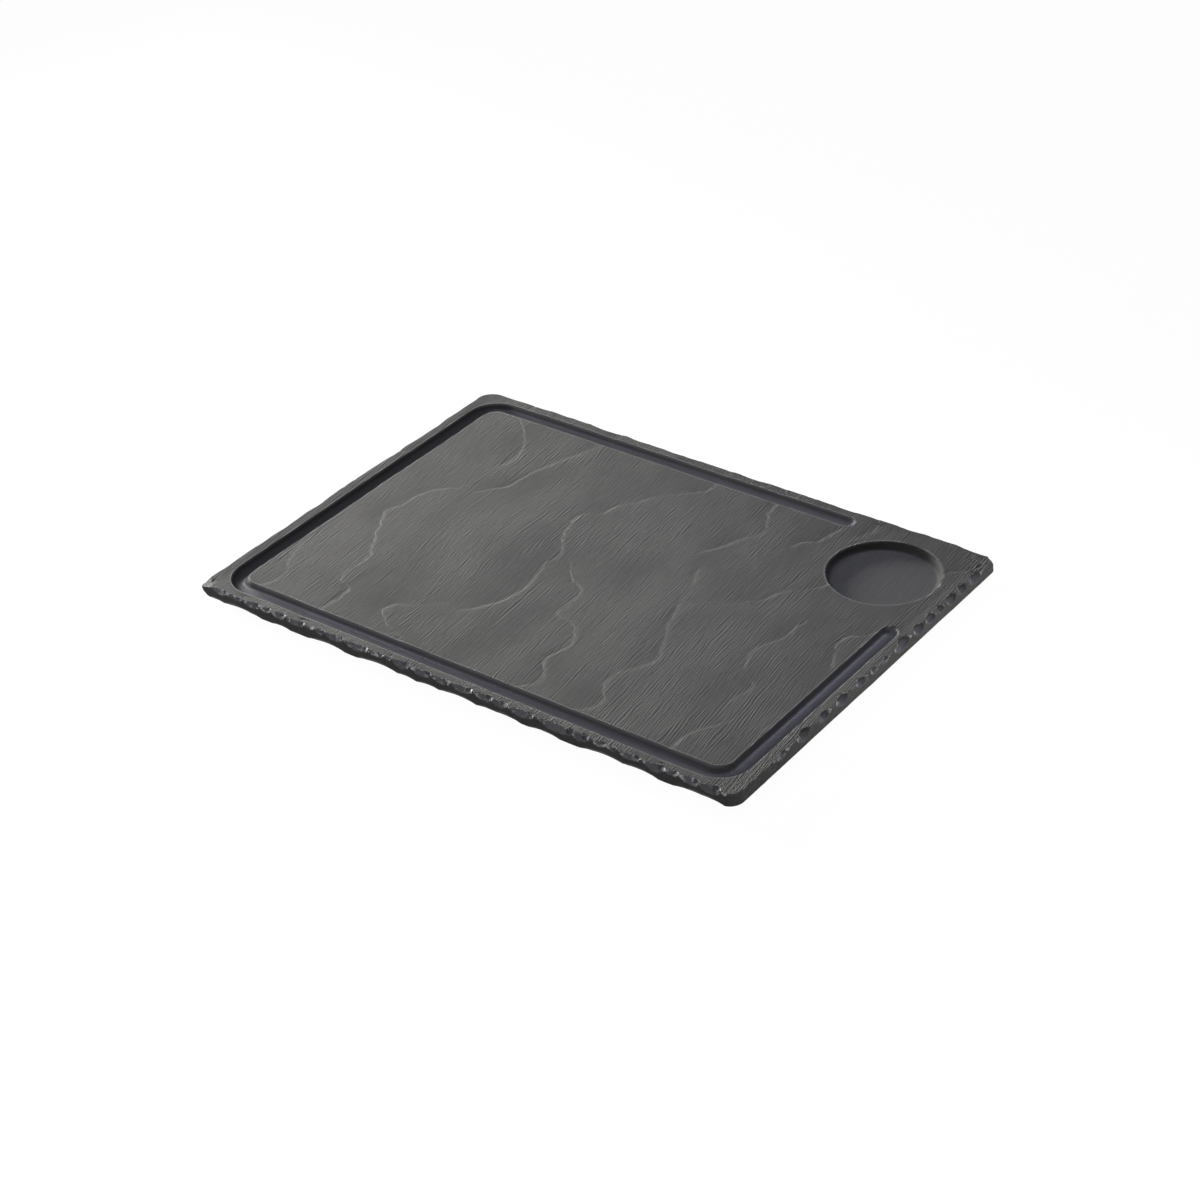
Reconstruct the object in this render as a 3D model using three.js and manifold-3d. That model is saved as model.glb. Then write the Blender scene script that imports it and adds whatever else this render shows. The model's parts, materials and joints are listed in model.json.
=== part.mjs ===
// A rectangular steak plate in slate-textured stoneware. The slab has a riven face, a knapped edge, a juice
// groove that runs round the meat panel, and a round sauce well in the corner that the groove leaves free.
// Four anti-slip pads are stuck under it.
// Millimetres, +Z up. The origin is on the table, under the middle of the plate. +X runs along the plate.

import * as THREE from 'three';
import { ConvexGeometry } from 'three/addons/geometries/ConvexGeometry.js';
import { mergeVertices } from 'three/addons/utils/BufferGeometryUtils.js';
import Module from 'manifold-3d';

// Slab
const plateLength = 330;
const plateWidth = 240;
const cornerRadii = { frontLeft: 6, frontRight: 9, backRight: 6, backLeft: 9 };
const slabThickness = 7.5;
const edgeBatter = 0.8; // how far the upper edge leans in from the foot of the edge
const footChamfer = 0.6;

// Waves along the edge, as hand trimming leaves them
const waveDepth = 1;
const longWave = 47;
const shortWave = 15;
const swellShare = 0.8; // how much of the short wave the long one takes away
const outlineStep = 4.5; // spacing of the stations round the outline

// Chips knapped off the edge: along it, across the face and down the wall, and the pitch from one to the next
const upperChips = {
  front: { pitch: 12, length: 11, bite: 1.9, drop: 3.6 },
  right: { pitch: 16, length: 13, bite: 1.7, drop: 3.4 },
  back: { pitch: 26, length: 18, bite: 0.9, drop: 1.6 },
  left: { pitch: 20, length: 15, bite: 1, drop: 1.8 },
};
const lowerChips = {
  front: { pitch: 15, length: 11, bite: 1.1, drop: 2.4 },
  right: { pitch: 40, length: 16, bite: 0.6, drop: 1.4 },
  back: { pitch: 26, length: 14, bite: 1, drop: 2.2 },
  left: { pitch: 26, length: 14, bite: 1, drop: 2.2 },
};
const cornerChip = { length: 17, bite: 2.2, drop: 3.6 };
const chipMix = { least: 0.6, most: 1.4 }; // a chip's size, and a pitch's, as shares of those given
const pitchMix = { least: 0.7, most: 1.3 };
const ballDetail = 2; // facets of the balls that bite them out

// Juice groove
const grooveInset = 11.7; // outline to centreline
const grooveWidth = 9.1;
const grooveDepth = 3.2;
const grooveCornerRadius = 13; // on the centreline
const grooveFlat = 0.8; // narrow flat along its floor
const grooveFacets = { corner: 7, section: 5 };

// Sauce well
const wellDiameter = 60; // at the face
const wellDepth = 4.5;
const wellFloorFillet = 3;
const wellRimRadius = 1.5;
const wellFacets = { round: 48, arc: 2 };
const wellInsetX = 41.7; // right outline to centre
const wellInsetY = 43.1; // back outline to centre
const backRunGap = 7.3; // ground between the well and the tip of the groove's back run
const rightRunGap = 9.9; // and the tip of its right run

// Cleft ledges of the riven face
const ledgeStep = 0.7; // height of the scarp
const ledgeReach = 24; // width of the flake that was split off below it
const ledgeSpacing = 8.5; // spacing of the teeth along a ledge
const ledgeTooth = 1.1; // how far a tooth strays from the line
const fadeShare = 0.3; // the share of a ledge over which it fades
const fadeLeast = 0.1;

// Pads
const padDiameter = 18;
const padHeight = 2.5;
const padTaper = 0.6;
const padFillet = 0.5;
const padInset = 42; // outline to centre, on both axes
const padFacets = { round: 32, arc: 1 };

// Each ledge is a smooth line through these points, with the low side on its right as it runs. They are
// shares of half the length and half the width, so that the pattern keeps to the plate. A ledge runs out
// over the edge of the plate, or fades where it starts or stops in the face.
const ledges = [
  {
    from: 'edge',
    to: 'edge',
    line: [[-0.78, 1.02], [-0.72, 0.78], [-0.65, 0.65], [-0.63, 0.5], [-0.7, 0.44], [-1.02, 0.3]],
  },
  {
    from: 'edge',
    to: 'edge',
    line: [[-0.41, 1.02], [-0.48, 0.67], [-0.54, 0.38], [-0.66, 0.22], [-0.75, 0.08], [-0.78, -0.12],
      [-0.65, -0.46], [-0.65, -0.58], [-0.57, -0.73], [-0.59, -1.02]],
  },
  { from: 'face', to: 'edge', line: [[-0.92, -0.46], [-0.85, -0.62], [-0.8, -0.76], [-0.81, -1.02]] },
  {
    from: 'edge',
    to: 'edge',
    line: [[0.02, 1.02], [0.01, 0.78], [-0.13, 0.54], [-0.23, 0.32], [-0.16, 0.04], [-0.13, -0.24],
      [-0.14, -0.42], [-0.27, -0.54], [-0.42, -0.7], [-0.38, -0.8], [-0.23, -1.02]],
  },
  {
    from: 'face',
    to: 'edge',
    line: [[-0.15, 0.05], [0.02, -0.15], [0.05, -0.35], [0.17, -0.48], [0.16, -0.64], [0.22, -0.78],
      [0.1, -1.02]],
  },
  { from: 'edge', to: 'face', line: [[0.23, 1.02], [0.27, 0.78], [0.31, 0.63], [0.26, 0.48], [0.19, 0.3]] },
  {
    from: 'edge',
    to: 'edge',
    line: [[0.66, 0.45], [0.54, 0.23], [0.33, -0.01], [0.39, -0.26], [0.43, -0.4], [0.38, -0.58],
      [0.42, -0.73], [0.34, -1.02]],
  },
  {
    from: 'face',
    to: 'edge',
    line: [[0.69, 0.12], [0.65, -0.13], [0.74, -0.35], [0.74, -0.52], [0.76, -0.62], [0.72, -0.8],
      [0.75, -1.02]],
  },
  { from: 'face', to: 'face', line: [[1.0, 0.33], [0.85, 0.16], [0.85, 0.04], [0.98, -0.14]] },
];

const underside = padHeight;
const face = padHeight + slabThickness;
const halfLength = plateLength / 2;
const halfWidth = plateWidth / 2;
const wellCentre = new THREE.Vector2(halfLength - wellInsetX, halfWidth - wellInsetY);
const clear = 4; // how far a cutter stands out past the face
const weld = 1e-4; // vertices nearer than this are one
const tidy = 0.02; // edges shorter than this are dropped after the cuts
const skim = 0.02; // how far the thin edge of a flake clears the face

const wasm = await Module();
wasm.setup();

// A repeatable number between least and most for each number n: the fraction of a large fast sine.
function chance(n, { least, most }) {
  const wave = Math.sin(n * 12.9898 + 4.1) * 43758.5453;
  return least + (most - least) * (wave - Math.floor(wave));
}

// A closed geometry as a solid that can be cut.
function solidOf(geometry) {
  const bare = new THREE.BufferGeometry();
  bare.setAttribute('position', geometry.getAttribute('position'));
  bare.setIndex(geometry.index);
  const merged = mergeVertices(bare, weld);
  const corners = merged.index.array;
  const triVerts = [];
  for (let i = 0; i < corners.length; i += 3) {
    const [a, b, c] = corners.slice(i, i + 3);
    if (a !== b && b !== c && c !== a) triVerts.push(a, b, c);
  }
  return new wasm.Manifold(new wasm.Mesh({
    numProp: 3,
    vertProperties: merged.getAttribute('position').array,
    triVerts: new Uint32Array(triVerts),
  }));
}

function geometryOf(solid) {
  const mesh = solid.getMesh();
  const geometry = new THREE.BufferGeometry();
  geometry.setAttribute('position', new THREE.BufferAttribute(mesh.vertProperties, 3));
  geometry.setIndex(new THREE.BufferAttribute(mesh.triVerts, 1));
  geometry.computeVertexNormals();
  return geometry;
}

// The closed plan of the plate, drawn in by an inset, as a path that can be walked by its length.
function plateOutline(inset) {
  const x = halfLength - inset;
  const y = halfWidth - inset;
  const corners = [
    { x: 1, y: -1, radius: cornerRadii.frontRight - inset },
    { x: 1, y: 1, radius: cornerRadii.backRight - inset },
    { x: -1, y: 1, radius: cornerRadii.backLeft - inset },
    { x: -1, y: -1, radius: cornerRadii.frontLeft - inset },
  ];
  const outline = new THREE.Path();
  outline.moveTo(-x + cornerRadii.frontLeft - inset, -y);
  corners.forEach((corner, i) => {
    const turned = -Math.PI / 2 + i * Math.PI / 2;
    const centre = new THREE.Vector2(corner.x * (x - corner.radius), corner.y * (y - corner.radius));
    outline.lineTo(centre.x + corner.radius * Math.cos(turned), centre.y + corner.radius * Math.sin(turned));
    outline.absarc(centre.x, centre.y, corner.radius, turned, turned + Math.PI / 2);
  });
  return outline;
}

// A station on a path: its place, and the way out across the path's right side.
function stationAt(path, share) {
  const along = path.getTangentAt(share);
  return { at: path.getPointAt(share), out: new THREE.Vector2(along.y, -along.x) };
}

// The slab before it is worked: a section carried round the outline, with waves in the edge that swell and
// die down, so that each side still reaches its full size.
function blank() {
  const outline = plateOutline(0);
  const length = outline.getLength();
  const count = Math.round(length / outlineStep);
  const longTurns = Math.round(length / longWave);
  const shortTurns = Math.round(length / shortWave);
  const section = [
    { z: underside, inset: footChamfer },
    { z: underside + footChamfer, inset: 0 },
    { z: face, inset: edgeBatter },
  ];
  const positions = [];
  const rings = section.map(({ z, inset }) => Array.from({ length: count }, (_, i) => {
    const { at, out } = stationAt(outline, i / count);
    const turn = (i / count) * Math.PI * 2;
    const swell = 1 - swellShare * (0.5 - 0.5 * Math.sin(turn * longTurns));
    const wave = swell * (0.5 + 0.5 * Math.sin(turn * shortTurns + z / slabThickness));
    at.addScaledVector(out, -inset - waveDepth * wave);
    positions.push(at.x, at.y, z);
    return at;
  }));
  const index = [];
  for (let ring = 0; ring + 1 < rings.length; ring += 1) {
    for (let i = 0; i < count; i += 1) {
      const a = ring * count + i;
      const b = ring * count + ((i + 1) % count);
      index.push(a, b, b + count, a, b + count, a + count);
    }
  }
  const top = (rings.length - 1) * count;
  for (const [a, b, c] of THREE.ShapeUtils.triangulateShape(rings[0], [])) index.push(a, c, b);
  for (const [a, b, c] of THREE.ShapeUtils.triangulateShape(rings.at(-1), [])) {
    index.push(top + a, top + b, top + c);
  }
  const geometry = new THREE.BufferGeometry();
  geometry.setAttribute('position', new THREE.Float32BufferAttribute(positions, 3));
  geometry.setIndex(index);
  return solidOf(geometry);
}

// One chip: a ball that bites into the edge at a level, from above or from below.
function chip(at, out, level, upwards, { length, bite, drop }) {
  const radius = (length * length / 4 + bite * bite) / (2 * bite);
  const lean = Math.atan2(bite, drop);
  const reach = radius - bite * Math.cos(lean);
  const ball = new THREE.IcosahedronGeometry(radius, ballDetail);
  ball.rotateZ(Math.atan2(out.y, out.x));
  const away = out.clone().multiplyScalar(reach * Math.cos(lean)).add(at);
  ball.translate(away.x, away.y, level + upwards * reach * Math.sin(lean));
  return solidOf(ball);
}

// Which side of the plate a station lies on, by the way it faces.
function sideOf(out) {
  if (Math.abs(out.y) > Math.abs(out.x)) return out.y < 0 ? 'front' : 'back';
  return out.x < 0 ? 'left' : 'right';
}

// A row of chips of mixed sizes, walked round the plate.
function chipRow(styles, inset, level, upwards) {
  const outline = plateOutline(inset);
  const length = outline.getLength();
  const chips = [];
  let distance = 0;
  for (let n = upwards; distance < length; n += upwards) {
    const { at, out } = stationAt(outline, distance / length);
    const style = styles[sideOf(out)];
    const size = chance(n, chipMix);
    const cut = { length: style.length * size, bite: style.bite * size, drop: style.drop * size };
    chips.push(chip(at, out, level, upwards, cut));
    distance += style.pitch * chance(n + 0.5, pitchMix);
  }
  return chips;
}

function knappedEdge() {
  const chips = [
    ...chipRow(upperChips, edgeBatter, face, 1),
    ...chipRow(lowerChips, footChamfer, underside, -1),
  ];
  const diagonal = Math.SQRT1_2;
  for (const [side, radius] of [[1, cornerRadii.backRight], [-1, cornerRadii.frontLeft]]) {
    const inset = radius * (1 - diagonal) + edgeBatter;
    const at = new THREE.Vector2(side * (halfLength - inset), side * (halfWidth - inset));
    chips.push(chip(at, new THREE.Vector2(side * diagonal, side * diagonal), face, 1, cornerChip));
  }
  return wasm.Manifold.union(chips);
}

// One flake: wedges along a ledge, deep at the scarp and running out to nothing on the low side.
function flake({ from, to, line }, order) {
  const curve = new THREE.SplineCurve(line.map(([x, y]) => new THREE.Vector2(x * halfLength, y * halfWidth)));
  const count = Math.round(curve.getLength() / ledgeSpacing);
  const posts = [];
  for (let i = 0; i <= count; i += 1) {
    const share = i / count;
    const { at, out } = stationAt(curve, share);
    at.addScaledVector(out, chance(i + order / ledges.length, { least: -ledgeTooth, most: ledgeTooth }));
    const fromStart = from === 'face' ? share / fadeShare : 1;
    const fromStop = to === 'face' ? (1 - share) / fadeShare : 1;
    const fade = Math.max(fadeLeast, Math.min(1, fromStart, fromStop));
    const foot = at.clone().addScaledVector(out, ledgeReach * fade);
    posts.push([
      new THREE.Vector3(at.x, at.y, face + clear),
      new THREE.Vector3(at.x, at.y, face - ledgeStep * fade),
      new THREE.Vector3(foot.x, foot.y, face + skim),
      new THREE.Vector3(foot.x, foot.y, face + clear),
    ]);
  }
  const wedges = [];
  for (let i = 0; i < count; i += 1) {
    wedges.push(solidOf(new ConvexGeometry([...posts[i], ...posts[i + 1]])));
  }
  return wasm.Manifold.union(wedges);
}

// The groove's plan at half width w: along the back, left, front and right, with round tips at both ends.
function groovePlan(w) {
  const x = halfLength - grooveInset;
  const y = halfWidth - grooveInset;
  const tipX = wellCentre.x - wellDiameter / 2 - backRunGap - grooveWidth / 2;
  const tipY = wellCentre.y - wellDiameter / 2 - rightRunGap - grooveWidth / 2;
  const r = grooveCornerRadius;
  const quarter = Math.PI / 2;
  const plan = new THREE.Shape();
  plan.moveTo(tipX, y + w);
  plan.lineTo(-x + r, y + w);
  plan.absarc(-x + r, y - r, r + w, quarter, 2 * quarter);
  plan.lineTo(-x - w, -y + r);
  plan.absarc(-x + r, -y + r, r + w, 2 * quarter, 3 * quarter);
  plan.lineTo(x - r, -y - w);
  plan.absarc(x - r, -y + r, r + w, 3 * quarter, 4 * quarter);
  plan.lineTo(x + w, tipY);
  plan.absarc(x, tipY, w, 0, 2 * quarter);
  plan.lineTo(x - w, -y + r);
  plan.absarc(x - r, -y + r, r - w, 4 * quarter, 3 * quarter, true);
  plan.lineTo(-x + r, -y + w);
  plan.absarc(-x + r, -y + r, r - w, 3 * quarter, 2 * quarter, true);
  plan.lineTo(-x + w, y - r);
  plan.absarc(-x + r, y - r, r - w, 2 * quarter, quarter, true);
  plan.lineTo(tipX, y - w);
  plan.absarc(tipX, y, w, -quarter, quarter);
  return plan;
}

// The groove: a narrow floor whose bevel is the round of the section.
function groove() {
  const flat = grooveFlat / 2;
  const span = grooveWidth / 2 - flat;
  const radius = (span * span + grooveDepth * grooveDepth) / (2 * grooveDepth);
  const cutter = new THREE.ExtrudeGeometry(groovePlan(flat), {
    depth: clear,
    curveSegments: grooveFacets.corner,
    bevelEnabled: true,
    bevelThickness: radius,
    bevelSize: radius,
    bevelSegments: grooveFacets.section,
  });
  cutter.translate(0, 0, face - grooveDepth + radius);
  return solidOf(cutter);
}

// The well: a turned hollow whose floor fillet runs up into a rounded rim.
function well() {
  const rim = wellDiameter / 2;
  const floor = face - wellDepth;
  const fillet = Math.min(wellFloorFillet, wellDepth - wellRimRadius);
  const filletCentre = rim - wellRimRadius - fillet;
  const profile = new THREE.Path();
  profile.moveTo(0, floor);
  profile.lineTo(filletCentre, floor);
  profile.absarc(filletCentre, floor + fillet, fillet, -Math.PI / 2, 0);
  profile.absarc(rim, face - wellRimRadius, wellRimRadius, Math.PI, Math.PI / 2, true);
  profile.lineTo(rim, face + clear);
  profile.lineTo(0, face + clear);
  const cutter = new THREE.LatheGeometry(profile.getPoints(wellFacets.arc), wellFacets.round);
  cutter.rotateX(Math.PI / 2);
  cutter.translate(wellCentre.x, wellCentre.y, 0);
  return solidOf(cutter);
}

const stoneware = new THREE.MeshStandardMaterial({ color: '#5c5d59', roughness: 0.75, metalness: 0 });
const rubber = new THREE.MeshStandardMaterial({ color: '#2b2b2c', roughness: 0.85, metalness: 0 });

// The slab with all its cuts. The largest body is kept, without the crumbs that the cuts leave.
function plateSlab() {
  const cuts = [knappedEdge(), ...ledges.map(flake), groove(), well()];
  const bodies = blank().subtract(wasm.Manifold.union(cuts)).simplify(tidy).decompose();
  const worked = bodies.reduce((slab, crumb) => (crumb.volume() > slab.volume() ? crumb : slab));
  const slab = new THREE.Mesh(geometryOf(worked), stoneware);
  slab.name = 'plate_slab';
  return slab;
}

// A stick-on pad, turned, with its top flat against the underside.
function pad() {
  const radius = padDiameter / 2;
  const profile = new THREE.Path();
  profile.moveTo(0, 0);
  profile.lineTo(radius - padTaper - padFillet, 0);
  profile.absarc(radius - padTaper - padFillet, padFillet, padFillet, -Math.PI / 2, 0);
  profile.lineTo(radius, padHeight);
  profile.lineTo(0, padHeight);
  const turned = new THREE.LatheGeometry(profile.getPoints(padFacets.arc), padFacets.round);
  turned.rotateX(Math.PI / 2);
  return new THREE.Mesh(geometryOf(solidOf(turned)), rubber);
}

const steakPlate = new THREE.Group();
steakPlate.add(plateSlab());
for (const [depthName, y] of [['front', -1], ['back', 1]]) {
  for (const [sideName, x] of [['left', -1], ['right', 1]]) {
    const foot = pad();
    foot.name = `pad_${depthName}_${sideName}`;
    foot.position.set(x * (halfLength - padInset), y * (halfWidth - padInset), 0);
    steakPlate.add(foot);
  }
}

export default steakPlate;
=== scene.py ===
# Steak plate: the riven, knapped finish of a slate-textured stoneware plate, dressed over its CAD frame.
# Sizes in the dictionaries are millimetres and angles are degrees; mm turns them into Blender's metres.

import json
import bpy
import numpy as np
from mathutils import Matrix, Vector


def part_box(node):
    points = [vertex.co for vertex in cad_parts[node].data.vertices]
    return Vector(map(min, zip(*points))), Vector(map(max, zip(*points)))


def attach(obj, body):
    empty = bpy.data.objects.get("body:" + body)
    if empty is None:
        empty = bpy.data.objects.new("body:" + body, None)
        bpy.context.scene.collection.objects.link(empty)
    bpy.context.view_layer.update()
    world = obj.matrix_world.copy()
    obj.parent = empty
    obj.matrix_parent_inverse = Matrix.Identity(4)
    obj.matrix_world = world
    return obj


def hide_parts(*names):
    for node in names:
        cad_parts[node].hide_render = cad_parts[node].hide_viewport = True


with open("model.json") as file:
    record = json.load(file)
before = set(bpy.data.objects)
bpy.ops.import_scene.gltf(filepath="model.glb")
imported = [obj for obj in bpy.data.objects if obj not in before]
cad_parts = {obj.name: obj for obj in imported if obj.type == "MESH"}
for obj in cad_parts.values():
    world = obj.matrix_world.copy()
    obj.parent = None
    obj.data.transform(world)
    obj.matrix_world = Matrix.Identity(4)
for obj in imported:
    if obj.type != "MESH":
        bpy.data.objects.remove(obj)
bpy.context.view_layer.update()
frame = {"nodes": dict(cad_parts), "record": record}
mm = 0.001
tiny = 1e-6  # keeps a division by a radius finite

slabLow, slabHigh = (np.array(corner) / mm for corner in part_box("plate_slab"))
halfLength, halfWidth, face = slabHigh
under = slabLow[2]
wellMount = next(m for m in frame["record"]["mounts"] if m["name"] == "well_floor")
wellX, wellY, wellFloor = np.array(wellMount["pos_m"]) / mm
print("frame: slab", 2 * halfLength, "x", 2 * halfWidth, "mm, face at", face)


# Value noise from 0 to 1: hashed heights at whole numbers, blended between them by 3t^2 - 2t^3.
def smoothNoise(u, v, seed):
    u0, v0 = np.floor(u), np.floor(v)
    tu, tv = u - u0, v - v0
    tu, tv = tu * tu * (3 - 2 * tu), tv * tv * (3 - 2 * tv)

    def hashed(a, b):
        wave = np.sin(a * 127.1 + b * 311.7 + seed * 74.7) * 43758.5453
        return wave - np.floor(wave)

    near = hashed(u0, v0) * (1 - tu) + hashed(u0 + 1, v0) * tu
    far = hashed(u0, v0 + 1) * (1 - tu) + hashed(u0 + 1, v0 + 1) * tu
    return near * (1 - tv) + far * tv


# 0 below start, 1 above stop, and 3t^2 - 2t^3 between.
def ease(value, start, stop):
    t = np.clip((value - start) / (stop - start), 0, 1)
    return t * t * (3 - 2 * t)


# The lower of two levels, with the arris between them rounded over a height of k.
def softLower(a, b, k):
    return np.minimum(a, b) - np.maximum(k - np.abs(a - b), 0) ** 2 / (4 * k)


slab = {
    "cell": 1.3,  # spacing of the panel's grid
    "panelMargin": 6,  # panel grid to the groove's inner edge
    "marginRings": 4,  # steps across that margin
    "rimRings": 3,  # and from the groove's outer edge to the edge band
    "cornerRadii": np.array([4, 9, 6, 13]),  # front left, front right, back right, back left
    "leastRadius": 0.6,  # of a corner that is drawn in
    "cornerZone": 9,  # length of panel side that feeds half a corner
    "sharpAngle": 38,  # creases sharper than this stay crisp
    "rimFall": 0.3,  # the rim rolls down towards the groove
    "rimWidth": 7,
    "rimClear": (1, 2.5),  # places in from the edge band between which ledges set in
    "cutDepths": (0.15, 0.6),  # depths between which the tone of a cut sets in
    "polishSlopes": (0.36, 0.75),  # slopes between which its polish ends
    "slopeStep": 0.05,  # to either side of a place where a slope is taken
}

groove = {
    "inset": 11.7,  # outline to centreline
    "width": 9.5,
    "depth": 3.2,
    "flat": 2.3,  # width of its floor
    "cornerRadius": 13,
    "backGap": 7.3,  # ground between the well and the tip of the back run
    "rightGap": 9.9,  # and the tip of the right run
    "arris": 0.12,  # height of the round along its edges
    "arrisSlope": 0.8,  # of the line that rounds it off on the face
    "wornAndHighlitWidth": 0.65,  # width of the arris that is painted paler, as rubbed and in part as a painted highlight
    "leftRun": 6,  # the left run, painted in shade, sets in this far from its centreline
    "leftBends": (16, 8),  # and the steep parts of its two bends between these
    "bendSlopes": (0.1, 0.4),  # slopes between which a part is steep
    "leftShine": 0.05,  # share of its polish that all this has
    "ringAngles": (0, 12, 24, 36, 50, 66),  # rows of points on its round
    "ringOffsets": (-0.06, 0.02, 0.12, 0.3, 0.8),  # and past its edges, close together there
    "clear": (0.6, 2),  # distances from its edges between which ledges set in
}
grooveX = halfLength - groove["inset"]
grooveY = halfWidth - groove["inset"]
grooveSpan = (groove["width"] - groove["flat"]) / 2
grooveRound = (grooveSpan**2 + groove["depth"] ** 2) / (2 * groove["depth"])

well = {
    "diameter": 60,
    "fillet": 3.0,  # round at the foot of its wall
    "rim": 0.7,  # round at the top of it
    "wallAngle": 78,
    "arcPoints": 16,  # along each round
    "arris": 0.3,
    # width of its arris that is painted paler, as rubbed and in part as a painted highlight
    "wornAndHighlitWidth": 0.5,
    "surround": 2,  # it counts as the well out to here
    "shade": 0.2,  # share of the groove's tone that it has
    "shine": 0.5,  # and of its polish
    "wallShade": 0.7,  # share of the painted shade that its wall has
    "wallSlopes": (0.05, 0.5),  # slopes between which that sets in
    "clear": (1, 3),  # distances from its edge between which ledges set in
    "drawnFrom": (0, 19.5, 35, 40),  # radii of the grid, which are moved
    "drawnTo": (0, 25.2, 31.4, 40),  # to these, so that points crowd the wall
    "drawnInset": (6, 9),  # insets from the outline between which that sets in
}
wellRadius = well["diameter"] / 2
backTip = wellX - wellRadius - groove["backGap"] - groove["width"] / 2
rightTip = wellY - wellRadius - groove["rightGap"] - groove["width"] / 2


# Distance from the groove's centreline: a rounded rectangle that stops at two round tips beside the well.
def fromGroove(x, y):
    r = groove["cornerRadius"]
    qx = np.abs(x) - (grooveX - r)
    qy = np.abs(y) - (grooveY - r)
    outside = np.hypot(np.maximum(qx, 0), np.maximum(qy, 0))
    closed = np.abs(outside + np.minimum(np.maximum(qx, qy), 0) - r)
    tips = np.minimum(np.hypot(x - backTip, y - grooveY), np.hypot(x - grooveX, y - rightTip))
    return np.where((x > backTip) & (y > rightTip), tips, closed)


# Level of the groove at a distance from its centreline: a narrow flat, a circle's arc up to the face, and
# then a straight line above it, which leaves room for the arris to be rounded.
def grooveLevel(distance):
    e = np.clip(distance - groove["flat"] / 2, 0, grooveSpan)
    above = np.maximum(distance - groove["width"] / 2, 0) * groove["arrisSlope"]
    return grooveRound - groove["depth"] - np.sqrt(grooveRound**2 - e**2) + above


# Level of the well at a radius: flat floor, a fillet arc, a straight wall and a rim arc, joined end to end,
# and then the groove's straight line above the face.
def wellLevel(radius):
    depth = face - wellFloor
    turn = np.radians(np.linspace(0, well["wallAngle"], well["arcPoints"]))
    slope = turn[-1]
    fillet, rim = well["fillet"], well["rim"]
    wallHeight = depth - (fillet + rim) * (1 - np.cos(slope))
    footRadius = wellRadius - (fillet + rim) * np.sin(slope) - wallHeight / np.tan(slope)
    profileR = np.concatenate([footRadius + fillet * np.sin(turn), wellRadius - rim * np.sin(turn[::-1])])
    profileZ = np.concatenate([fillet * (1 - np.cos(turn)) - depth, rim * (np.cos(turn[::-1]) - 1)])
    beyond = 5
    profileR = np.append(profileR, wellRadius + beyond)
    return np.interp(radius, profileR, np.append(profileZ, beyond * groove["arrisSlope"]))


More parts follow.
